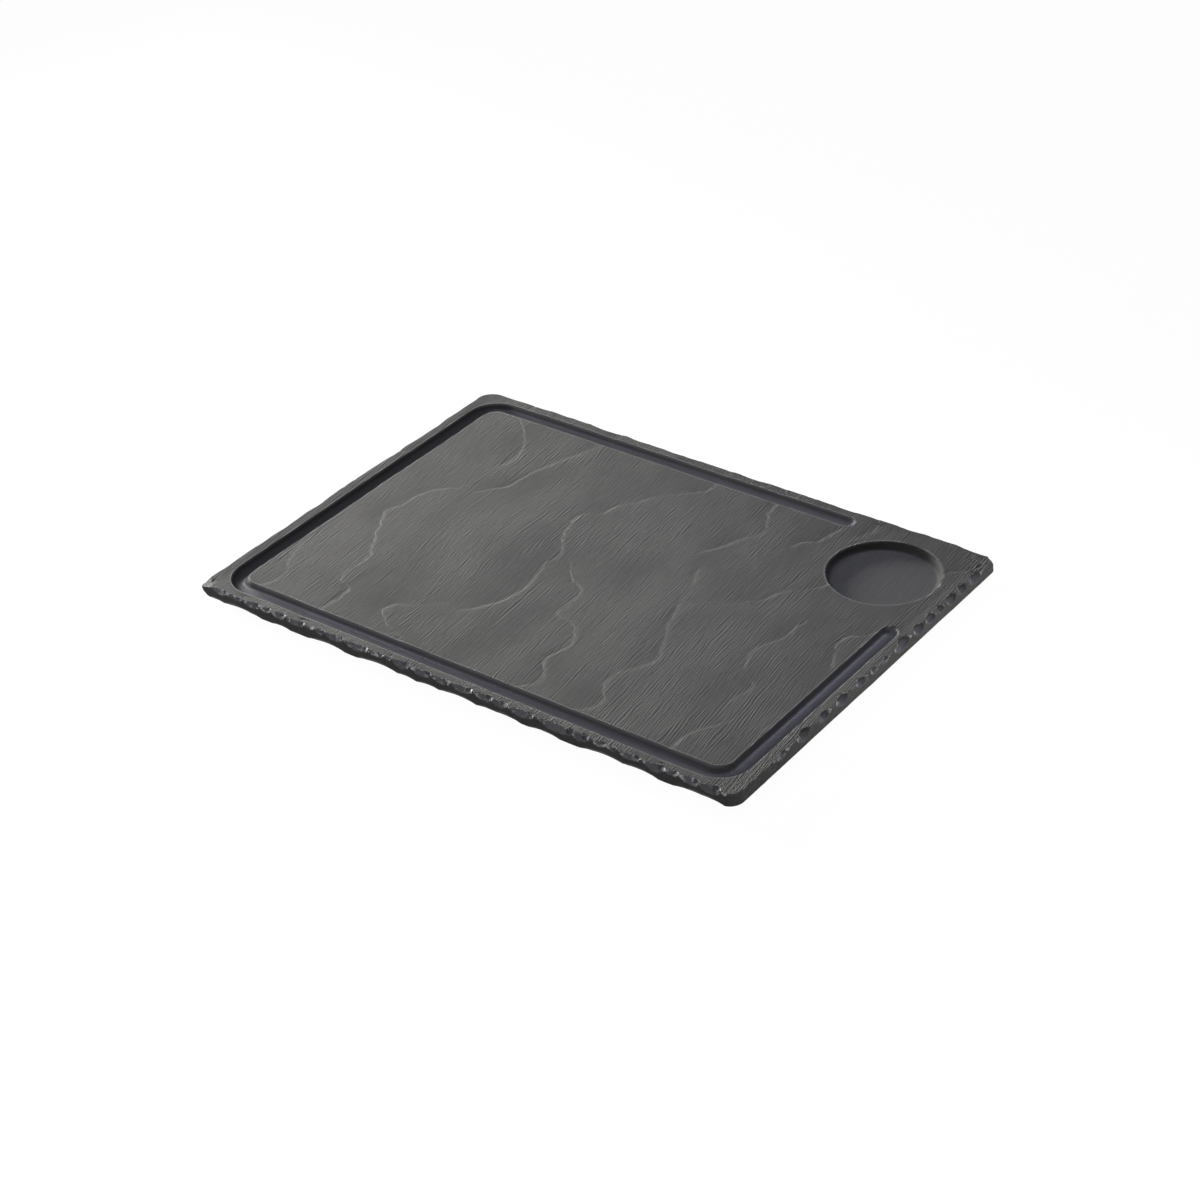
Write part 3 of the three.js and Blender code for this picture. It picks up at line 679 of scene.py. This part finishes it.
# The slab: a grid over the meat panel, rings round it through the groove, the edge band and a flat
# underside. The rings beside the groove are blends of two loops, and points near the well are drawn towards
# its wall along their radius.
def makeSlab():
    stations, fineStations = stationsRound(1), stationsRound(2)
    linesX = np.linspace(-panelX, panelX, cellsX + 1)
    linesY = np.linspace(-panelY, panelY, cellsY + 1)
    panel = np.stack([grid.ravel() for grid in np.meshgrid(linesX, linesY)], 1)
    number = np.arange(len(panel)).reshape(cellsY + 1, cellsX + 1)
    border = np.concatenate([number[0, :-1], number[:-1, -1], number[-1, :0:-1], number[:0:-1, 0]])

    onRound = groove["flat"] / 2 + grooveRound * np.sin(np.radians(groove["ringAngles"]))
    onEdge = groove["width"] / 2 + np.array(groove["ringOffsets"])
    offsets = np.concatenate([onRound, onEdge])
    offsets = np.concatenate([-offsets[::-1], offsets])
    crossing = [grooveLoop(offset, stations) for offset in offsets]
    marginSteps, rimSteps = (np.arange(1, slab[key]) / slab[key] for key in ("marginRings", "rimRings"))
    margin = [panel[border] * (1 - t) + crossing[0] * t for t in marginSteps]
    rimStart = outlineLoop(edge["rimInsets"][0], stations)[0]
    rim = [crossing[-1] * (1 - t) + rimStart * t for t in rimSteps]
    rings = np.array(margin + crossing + rim)

    plan = np.concatenate([panel, rings.reshape(-1, 2)])
    x, y = plan.T.copy()
    radius = np.hypot(x - wellX, y - wellY)
    drawn = np.interp(radius, well["drawnFrom"], well["drawnTo"]) / np.maximum(radius, tiny)
    inset = np.minimum(halfLength - np.abs(x), halfWidth - np.abs(y))
    pull = np.where(radius < well["drawnFrom"][-1], drawn - 1, 0) * ease(inset, *well["drawnInset"])
    x += (x - wellX) * pull
    y += (y - wellY) * pull
    clearOfGroove = ease(fromGroove(x, y) - groove["width"] / 2, *groove["clear"])
    clearOfWell = ease(np.hypot(x - wellX, y - wellY) - wellRadius, *well["clear"])
    clearOfRim = ease(inset - edge["rimInsets"][0], *slab["rimClear"])
    crease = stepOntoLedges(x, y, clearOfGroove * clearOfWell * clearOfRim)
    level, inCut, rubbedAndHighlit, polished, paintedShade = faceLevel(x, y)
    top = np.stack([x, y, face + level], 1)

    band, bandCut, bandRubbedAndHighlit, bandPolished, bandBroken, bandPaintedShade, bandCrushedAndGlint = edgeBand(fineStations)
    below = outlineLoop(edge["bottomInset"], stations)[0]
    below = np.column_stack([below, np.full(len(below), under)])
    points = np.concatenate([top, band.reshape(-1, 3), below])

    ringNumbers = len(panel) + np.arange(rings.shape[0] * rings.shape[1]).reshape(rings.shape[:2])
    bandNumbers = len(top) + np.arange(band.shape[0] * band.shape[1]).reshape(band.shape[:2])
    belowNumbers = len(points) - len(below) + np.arange(len(below))
    quads = np.stack([number[:-1, :-1], number[:-1, 1:], number[1:, 1:], number[1:, :-1]], -1)
    loops = [border, *ringNumbers]
    topQuads = np.concatenate([quads.reshape(-1, 4)] + [bandQuads(a, b) for a, b in zip(loops, loops[1:])])
    edgeQuads = np.concatenate([bandQuads(a, b) for a, b in zip(bandNumbers, bandNumbers[1:])])
    faces = [splitQuads(topQuads, points[:, 2:]), splitQuads(edgeQuads, points)]
    faces.append(doublingTriangles(ringNumbers[-1], bandNumbers[0]))
    faces.append(doublingTriangles(belowNumbers, bandNumbers[-1])[:, ::-1])
    faces.append(belowNumbers[None, ::-1])

    across, along = grainPlace(points[:, 0], points[:, 1])
    none = np.zeros(len(below))
    attributes = {
        "grain": np.stack([across, along, points[:, 2]], 1),
        "inCut": np.concatenate([inCut, bandCut.ravel(), none]),
        "rubbedAndHighlit": np.concatenate([rubbedAndHighlit, bandRubbedAndHighlit.ravel(), none]),
        "polished": np.concatenate([polished, bandPolished.ravel(), none]),
        "broken": np.concatenate([np.zeros(len(top)), bandBroken.ravel(), none]),
        # the dark tone is painted shade, and the flat underside takes it in full
        "wallAndPaintedShade": np.concatenate([paintedShade, bandPaintedShade.ravel(), none + 1]),
        "crushedAndGlint": np.concatenate([np.zeros(len(top)), bandCrushedAndGlint.ravel(), none]),
    }
    crease = np.append(crease, np.zeros(len(points) - len(top), int))
    return makePiece("slate_plate", points, faces, attributes, slab["sharpAngle"], crease)


plate = makeSlab()
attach(plate, "root")
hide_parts("plate_slab")
triangles = sum(len(polygon.vertices) - 2 for polygon in plate.data.polygons)
print("slab:", len(plate.data.vertices), "points,", triangles, "triangles")


pad = {
    "stations": 72,
    "taper": 0.6,
    "fillet": 0.6,
    "filletTurn": 80,
    "filletPoints": 7,
    "footRings": (0.08, 0.9, 8),  # first and last, as shares of the foot's radius, and how many
    "topRings": (1, 0.9, 0.3),  # shares of the full radius
    "dish": 0.25,  # the hollow in the middle of its foot
    "dishShare": 0.55,
    "dishFlat": 0.7,  # share of it that is flat
    "sharpAngle": 40,
}


# A turned pad: a profile of radius and level, carried round its own axis and closed across it at both ends.
def makePad(node):
    low, high = (np.array(corner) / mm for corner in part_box(node))
    radius, height = (high[0] - low[0]) / 2, high[2] - low[2]
    turn = np.radians(np.linspace(0, pad["filletTurn"], pad["filletPoints"]))
    foot = radius - pad["taper"] - pad["fillet"]
    inner = np.linspace(*pad["footRings"]) * foot
    dishRadius = pad["dishShare"] * foot
    dish = pad["dish"] * (1 - ease(inner, pad["dishFlat"] * dishRadius, dishRadius))
    top = np.array(pad["topRings"]) * radius
    profileR = np.concatenate([inner, foot + pad["fillet"] * np.sin(turn), top])
    profileZ = np.concatenate([dish, pad["fillet"] * (1 - np.cos(turn)), np.full(len(top), height)])
    angle = np.linspace(0, 2 * np.pi, pad["stations"], endpoint=False)
    ringX = (low[0] + high[0]) / 2 + profileR[:, None] * np.cos(angle)
    ringY = (low[1] + high[1]) / 2 + profileR[:, None] * np.sin(angle)
    ringZ = np.broadcast_to(low[2] + profileZ[:, None], ringX.shape)
    points = np.stack([ringX, ringY, ringZ], -1)
    number = np.arange(ringX.size).reshape(ringX.shape)
    faces = [bandQuads(a, b)[:, ::-1] for a, b in zip(number, number[1:])]
    faces += [number[0][None, ::-1], number[-1][None]]
    name = node.replace("pad", "rubber_pad")
    piece = makePiece(name, points.reshape(-1, 3), faces, {}, pad["sharpAngle"])
    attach(piece, "root")
    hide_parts(node)
    return piece


pads = [makePad(node) for node in sorted(frame["nodes"]) if node.startswith("pad_")]
print("pads:", [piece.name for piece in pads])


# sRGB hex to the linear colour that a shader takes.
def linear(hexCode):
    srgb = np.array([int(hexCode[i : i + 2], 16) for i in (1, 3, 5)]) / 255
    rgb = np.where(srgb <= 0.04045, srgb / 12.92, ((srgb + 0.055) / 1.055) ** 2.4)
    return (*rgb.tolist(), 1.0)


# Adds a node with its settings and gives one of its outputs. An input is a value, or the output of another
# node, which is then linked.
def addNode(tree, kind, inputs, output=0, **settings):
    node = tree.nodes.new(kind)
    for key, value in settings.items():
        setattr(node, key, value)
    for key, value in inputs.items():
        if isinstance(value, bpy.types.NodeSocket):
            tree.links.new(value, node.inputs[key])
        else:
            node.inputs[key].default_value = value
    return node.outputs[output]


# A new material, with its node tree and its shader.
def newMaterial(name):
    material = bpy.data.materials.new(name)
    material.use_nodes = True
    tree = material.node_tree
    return material, tree, tree.nodes["Principled BSDF"]


stoneware = {
    "face": "#5f5f5c",
    "faceDark": "#4e4e4b",
    "cut": "#605e62",
    # painted shade: the dark tone of the walls, the groove's left run, the scoops' inner walls and the
    # underside
    "wallAndPaintedShade": "#3a3837",
    "broken": "#626166",
    # paler tone of rubbed arrises and lips, in part a painted highlight
    "rubbedAndHighlit": "#92928f",
    # pale spots of crushed stone, in part painted glints
    "crushedAndGlint": "#f2f2f2",
    "ruling": 1.4,  # spacing of the striations of the riven face, drawn a little coarse so that they show
    "rulingTurns": 9,  # radians by which they wander
    # Noises in the grain: size across and along it, detail and roughness
    "noises": {
        "stray": (5, 30, 1.0, 0.5),  # the wandering of the striations
        "lines": (0.58, 11, 2.0, 0.5),  # uneven ones among them
        "hairs": (0.42, 5, 1.0, 0.5),  # finer ones between them
        "patches": (30, 48, 2.0, 0.5),  # where they are stronger
        "grit": (0.8, 0.8, 2.0, 0.6),  # tooth of the fired body, drawn coarse enough to show
        "facets": (1.3, 1.3, 2.0, 0.5),  # small facets of a broken face
        "flecks": (2.4, 2.4, 2.0, 0.6),  # pale spots where it is crushed, in part painted glints
    },
    "ruledShare": 0.4,  # of the ruling and of the hairs in the striations
    "hairShare": 0.5,
    "patchRange": (0.36, 0.64),  # of that noise, from none to full strength
    "faintest": 0.3,  # strength of the striations between the patches
    "bareTo": 0.2,  # how far a place may be cut or broken before they are gone
    "patchShare": 0.3,  # of the patches in the paler grey
    "paleRange": (0.4, 0.9),  # of lines and patches, from the darker grey to the paler
    "fleckRange": (0.49, 0.56),  # of that noise, from none to a pale spot
    "lineDepth": 0.4,
    "gritDepth": 0.13,
    "facetDepth": 0.5,
    "wornAndHighlitShare": 0.7,  # strength of the paler tone of rubbed arrises and lips, in part a painted highlight
    "roughness": 0.9,
    "cutRoughness": 0.33,
    "brokenRoughness": 0.7,
    "crushedRoughness": 0.35,
    "uneven": 0.15,  # of the roughness, from the grit
    "shine": 0.45,  # strength of reflections
}


# Slate-textured stoneware, pressed in a riven mould and fired matt: fine parallel lines that catch low
# light on the face, plain smooth groove and well, and a denser break along the edge, with pale spots where
# it is crushed, in part painted glints. Rubbed arrises are painted paler, in part as painted highlights,
# and a dark tone paints shade on the walls, the groove's left run, the scoops' inner walls and the
# underside.
def slateStoneware():
    s = stoneware
    material, tree, shader = newMaterial("slate_stoneware_pressed_matt")
    place = addNode(tree, "ShaderNodeAttribute", {}, "Vector", attribute_name="grain")
    inCut, rubbedAndHighlit, polished, broken, wallAndPaintedShade, crushedAndGlint = (
        addNode(tree, "ShaderNodeAttribute", {}, "Fac", attribute_name=key)
        for key in ("inCut", "rubbedAndHighlit", "polished", "broken", "wallAndPaintedShade", "crushedAndGlint")
    )
    noise = {}
    for key, (across, along, detail, roughness) in s["noises"].items():
        scale = (1 / across, 1 / along, 1 / across)
        scaled = addNode(tree, "ShaderNodeVectorMath", {0: place, 1: scale}, operation="MULTIPLY")
        settings = {"Vector": scaled, "Scale": 1.0, "Detail": detail, "Roughness": roughness}
        noise[key] = addNode(tree, "ShaderNodeTexNoise", settings)

    # Striations: a wandering sine ruling strengthens and weakens a noise drawn out along the grain
    across = addNode(tree, "ShaderNodeSeparateXYZ", {0: place})
    stray = {0: noise["stray"], 1: 2 * s["rulingTurns"]}
    stray = addNode(tree, "ShaderNodeMath", stray, operation="MULTIPLY")
    turn = {0: across, 1: 2 * np.pi / s["ruling"], 2: stray}
    turn = addNode(tree, "ShaderNodeMath", turn, operation="MULTIPLY_ADD")
    ruled = addNode(tree, "ShaderNodeMath", {0: turn}, operation="SINE")
    ruled = {0: ruled, 1: s["ruledShare"], 2: 1.0}
    ruled = addNode(tree, "ShaderNodeMath", ruled, operation="MULTIPLY_ADD")
    lines = addNode(tree, "ShaderNodeMath", {0: ruled, 1: noise["lines"]}, operation="MULTIPLY")
    striae = {0: noise["hairs"], 1: s["hairShare"], 2: lines}
    striae = addNode(tree, "ShaderNodeMath", striae, operation="MULTIPLY_ADD")
    low, high = s["patchRange"]
    patches = {"Value": noise["patches"], 1: low, 2: high, 3: s["faintest"], 4: 1.0}
    patches = addNode(tree, "ShaderNodeMapRange", patches)
    plain = addNode(tree, "ShaderNodeMath", {0: inCut, 1: broken}, operation="MAXIMUM")
    plain = addNode(tree, "ShaderNodeMath", {0: plain, 1: wallAndPaintedShade}, operation="MAXIMUM")
    bare = {"Value": plain, 1: 0.0, 2: s["bareTo"], 3: 1.0, 4: 0.0}
    bare = addNode(tree, "ShaderNodeMapRange", bare)
    riven = addNode(tree, "ShaderNodeMath", {0: striae, 1: patches}, operation="MULTIPLY")
    riven = addNode(tree, "ShaderNodeMath", {0: riven, 1: bare}, operation="MULTIPLY")

    # Tone: the face's two greys, and over them each layer: cut, painted shade, break, rubbed and crushed,
    # the last two in part painted highlights
    pale = {0: patches, 1: s["patchShare"], 2: lines}
    pale = addNode(tree, "ShaderNodeMath", pale, operation="MULTIPLY_ADD")
    low, high = s["paleRange"]
    pale = addNode(tree, "ShaderNodeMapRange", {"Value": pale, 1: low, 2: high})
    wornAndHighlit = addNode(tree, "ShaderNodeMath", {0: rubbedAndHighlit, 1: s["wornAndHighlitShare"]}, operation="MULTIPLY")
    low, high = s["fleckRange"]
    flecks = addNode(tree, "ShaderNodeMapRange", {"Value": noise["flecks"], 1: low, 2: high})
    flecks = addNode(tree, "ShaderNodeMath", {0: flecks, 1: crushedAndGlint}, operation="MULTIPLY")
    tone = linear(s["faceDark"])
    layers = {"face": pale, "cut": inCut, "wallAndPaintedShade": wallAndPaintedShade, "broken": broken, "rubbedAndHighlit": wornAndHighlit, "crushedAndGlint": flecks}
    for key, share in layers.items():
        tone = addNode(tree, "ShaderNodeMix", {0: share, 6: tone, 7: linear(s[key])}, 2, data_type="RGBA")
    tree.links.new(tone, shader.inputs["Base Color"])

    rough = {"Value": polished, 3: s["roughness"], 4: s["cutRoughness"]}
    rough = addNode(tree, "ShaderNodeMapRange", rough)
    changes = (
        (broken, s["brokenRoughness"] - s["roughness"]),
        (flecks, s["crushedRoughness"] - s["brokenRoughness"]),
        (noise["grit"], s["uneven"]),
    )
    for share, change in changes:
        rough = addNode(tree, "ShaderNodeMath", {0: share, 1: change, 2: rough}, operation="MULTIPLY_ADD")
    rough = addNode(tree, "ShaderNodeMath", {0: rough, 1: s["uneven"] / 2}, operation="SUBTRACT")
    tree.links.new(rough, shader.inputs["Roughness"])
    shader.inputs["Specular IOR Level"].default_value = s["shine"]

    facets = addNode(tree, "ShaderNodeMath", {0: noise["facets"], 1: broken}, operation="MULTIPLY")
    normal = addNode(tree, "ShaderNodeNewGeometry", {}, "Normal")
    for height, depth in ((noise["grit"], "gritDepth"), (riven, "lineDepth"), (facets, "facetDepth")):
        settings = {"Height": height, "Strength": 1.0, "Distance": s[depth] * mm, "Normal": normal}
        normal = addNode(tree, "ShaderNodeBump", settings)
    tree.links.new(normal, shader.inputs["Normal"])
    return material


rubber = {"body": "#2b2b2c", "grit": 0.6, "gritDepth": 0.02, "roughness": 0.85}


# Moulded silicone rubber, matt: an even dark grey with a faint tooth.
def mouldedRubber():
    material, tree, shader = newMaterial("silicone_rubber_moulded")
    place = addNode(tree, "ShaderNodeTexCoord", {}, "Object")
    grit = {"Vector": place, "Scale": 1 / (rubber["grit"] * mm), "Detail": 2.0}
    grit = addNode(tree, "ShaderNodeTexNoise", grit)
    bump = addNode(tree, "ShaderNodeBump", {"Height": grit, "Distance": rubber["gritDepth"] * mm})
    tree.links.new(bump, shader.inputs["Normal"])
    shader.inputs["Base Color"].default_value = linear(rubber["body"])
    shader.inputs["Roughness"].default_value = rubber["roughness"]
    return material


plate.data.materials.append(slateStoneware())
padRubber = mouldedRubber()
for piece in pads:
    piece.data.materials.append(padRubber)
print("materials:", [m.name for m in bpy.data.materials])


stage = {
    "floorSize": 12,  # metres
    "floorBody": "#eeeeee",
    "white": 1.06,  # strength of the plain white that the camera sees in the floor
    "whiteShare": 0.92,
    "ambient": 0.05,
    "ambientTint": "#ffffff",
    # Bearing is anticlockwise from the plate's right, as seen from the place aimed at; size and distance in
    # metres; power in watts; spread is the angle that a grid leaves open
    "lamps": {
        "key_softbox": {
            "bearing": 160, "elevation": 10, "distance": 1.1, "size": (0.7, 0.22),
            "power": 2.35, "tint": "#fffdf8", "aim": (0, -150), "spread": 40},
        "top_softbox": {
            "bearing": 176, "elevation": 50, "distance": 0.83, "size": (0.7, 0.14),
            "power": 1.7, "tint": "#e6e9ff", "aim": (-60, -60), "spread": 180},
        "back_softbox": {
            "bearing": 93, "elevation": 46, "distance": 0.7, "size": (0.6, 0.1),
            "power": 0.19, "tint": "#e6e9ff", "aim": (153, -15), "spread": 60},
        "front_softbox": {
            "bearing": 268, "elevation": 12, "distance": 1.2, "size": (0.8, 0.3),
            "power": 2.8, "tint": "#ffffff", "aim": (0, -100), "spread": 180},
        "right_card": {  # as low as the plate, so that only its right edge sees it
            "bearing": 0, "elevation": 0, "distance": 0.35, "size": (0.2, 0.014),
            "power": 0.085, "tint": "#ffffff", "aim": (165, 45), "spread": 60},
    },
}


# One large square. The camera and reflections see mostly plain white in it, and a share of its body, which
# takes the object's shadow.
def makeFloor():
    half = stage["floorSize"] / 2
    corners = [(-half, -half, 0), (half, -half, 0), (half, half, 0), (-half, half, 0)]
    mesh = bpy.data.meshes.new("floor")
    mesh.from_pydata(corners, [], [(0, 1, 2, 3)])
    floor = bpy.data.objects.new("floor", mesh)
    bpy.context.scene.collection.objects.link(floor)
    material = bpy.data.materials.new("paper_sweep_white")
    material.use_nodes = True
    tree = material.node_tree
    tree.nodes.clear()
    ray = addNode(tree, "ShaderNodeLightPath", {}).node.outputs
    seen = ray["Is Camera Ray"]
    for other in ("Is Glossy Ray", "Is Transmission Ray"):
        seen = addNode(tree, "ShaderNodeMath", {0: seen, 1: ray[other]}, operation="MAXIMUM")
    share = addNode(tree, "ShaderNodeMath", {0: seen, 1: stage["whiteShare"]}, operation="MULTIPLY")
    body = addNode(tree, "ShaderNodeBsdfDiffuse", {"Color": linear(stage["floorBody"])})
    white = addNode(tree, "ShaderNodeEmission", {"Color": (1, 1, 1, 1), "Strength": stage["white"]})
    both = addNode(tree, "ShaderNodeMixShader", {0: share, 1: body, 2: white})
    tree.links.new(both, tree.nodes.new("ShaderNodeOutputMaterial").inputs["Surface"])
    mesh.materials.append(material)


# The world is white to the camera and dim to the rest. A lamp stands at its bearing, elevation and distance
# from the place that it is aimed at, and looks back at it.
def lightStage():
    world = bpy.data.worlds.new("studio")
    bpy.context.scene.world = world
    world.use_nodes = True
    tree = world.node_tree
    tree.nodes.clear()
    seen = addNode(tree, "ShaderNodeLightPath", {}, "Is Camera Ray")
    ambient = {"Color": linear(stage["ambientTint"]), "Strength": stage["ambient"]}
    dim = addNode(tree, "ShaderNodeBackground", ambient)
    white = addNode(tree, "ShaderNodeBackground", {"Color": (1, 1, 1, 1), "Strength": 1.0})
    both = addNode(tree, "ShaderNodeMixShader", {0: seen, 1: dim, 2: white})
    tree.links.new(both, tree.nodes.new("ShaderNodeOutputWorld").inputs["Surface"])
    for name, lamp in stage["lamps"].items():
        bearing, elevation = np.radians([lamp["bearing"], lamp["elevation"]])
        level = np.cos(elevation)
        towards = Vector((level * np.cos(bearing), level * np.sin(bearing), np.sin(elevation)))
        light = bpy.data.lights.new(name, "AREA")
        light.shape = "RECTANGLE"
        light.size, light.size_y = lamp["size"]
        light.energy = lamp["power"]
        light.color = linear(lamp["tint"])[:3]
        light.spread = np.radians(lamp["spread"])
        holder = bpy.data.objects.new(name, light)
        aim = Vector((*lamp["aim"], face)) * mm
        holder.location = aim + towards * lamp["distance"]
        holder.rotation_euler = towards.to_track_quat("Z", "Y").to_euler()
        holder.visible_camera = False
        bpy.context.scene.collection.objects.link(holder)


makeFloor()
lightStage()
print("stage:", list(stage["lamps"]))


camera = {
    "place": (719.446, -926.147, 762.975),
    "bearing": 37.79,  # round from the front towards the right
    "elevation": 33.34,
    "roll": -2.83,
    "lens": 82.27,
    "sensor": 36,
}


# The camera stands at its place and looks down its own back axis; its right axis is level before the roll.
def placeCamera():
    bearing, elevation, roll = np.radians([camera[k] for k in ("bearing", "elevation", "roll")])
    back = np.array([
        np.cos(elevation) * np.sin(bearing), -np.cos(elevation) * np.cos(bearing), np.sin(elevation)])
    level = np.array([np.cos(bearing), np.sin(bearing), 0])
    upright = np.cross(back, level)
    right = level * np.cos(roll) + upright * np.sin(roll)
    up = upright * np.cos(roll) - level * np.sin(roll)
    data = bpy.data.cameras.new("camera")
    data.lens, data.sensor_width = camera["lens"], camera["sensor"]
    holder = bpy.data.objects.new("camera", data)
    columns = np.column_stack([right, up, back, np.array(camera["place"]) * mm])
    holder.matrix_world = Matrix([*columns.tolist(), [0, 0, 0, 1]])
    bpy.context.scene.collection.objects.link(holder)
    bpy.context.scene.camera = holder


placeCamera()
bpy.context.scene.view_settings.view_transform = "Standard"
